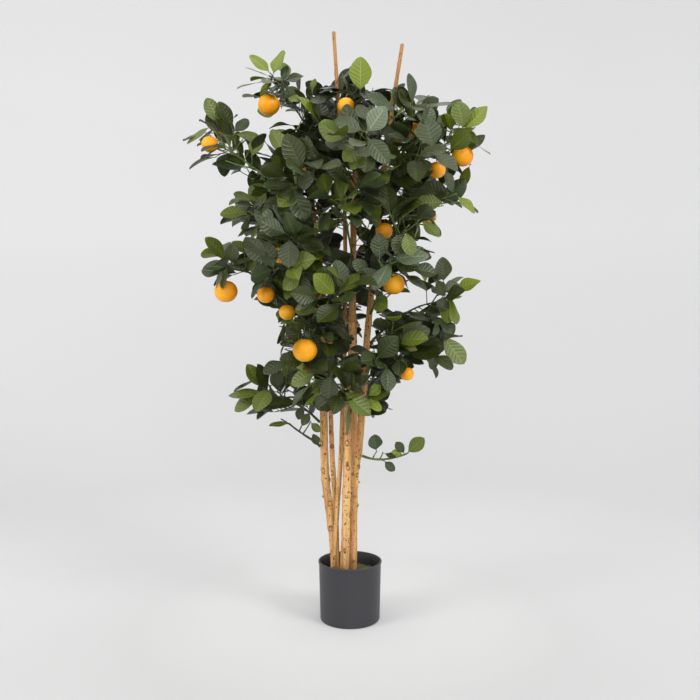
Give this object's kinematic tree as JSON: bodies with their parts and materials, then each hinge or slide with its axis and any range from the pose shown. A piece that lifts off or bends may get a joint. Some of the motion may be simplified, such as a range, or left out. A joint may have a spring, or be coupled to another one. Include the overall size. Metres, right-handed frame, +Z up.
{
  "type": "artificial potted orange tree",
  "caption": "Artificial orange tree of bare wooden sticks with moulded sprays of green leaves and oranges, standing in a small weighted dark pot.",
  "frame": {"origin": "centre of the pot's flat underside", "axes": "+Z up along the pot's axis, +X to the right as seen from the front, and the front faces -Y"},
  "size_m": [0.614, 0.519, 1.199],
  "materials": {
    "pot": "satin",
    "fill": "rough",
    "sticks": "matte",
    "leaves": "satin",
    "oranges": "satin"
  },
  "bodies": {
    "root": {"pot": "pot", "fill": "fill", "stick_centre": "sticks", "stick_left_thick": "sticks", "stick_left_thin": "sticks", "stick_rear": "sticks", "stick_tall_left": "sticks", "stick_tall_right": "sticks", "spray_back_1": "leaves", "spray_back_10": "leaves", "spray_back_11": "leaves", "spray_back_12": "leaves", "spray_back_2": "leaves", "spray_back_3": "leaves", "spray_back_4": "leaves", "spray_back_5": "leaves", "spray_back_6": "leaves", "spray_back_7": "leaves", "spray_back_8": "leaves", "spray_back_9": "leaves", "spray_base_left": "leaves", "spray_base_right": "leaves", "spray_crest": "leaves", "spray_crest_left": "leaves", "spray_crest_rear": "leaves", "spray_crest_right": "leaves", "spray_front_high": "leaves", "spray_front_left": "leaves", "spray_front_left_low": "leaves", "spray_front_low": "leaves", "spray_front_low_left": "leaves", "spray_front_low_right": "leaves", "spray_front_right": "leaves", "spray_front_right_low": "leaves", "spray_front_top": "leaves", "spray_front_top_left": "leaves", "spray_front_top_right": "leaves", "spray_inner_right": "leaves", "spray_low_left": "leaves", "spray_low_left_inner": "leaves", "spray_mid_left": "leaves", "spray_mid_right": "leaves", "spray_sprig_left": "leaves", "spray_sprig_right": "leaves", "spray_top_right": "leaves", "spray_upper_left": "leaves", "spray_upper_left_low": "leaves", "spray_upper_right": "leaves"}
  },
  "joints": []
}
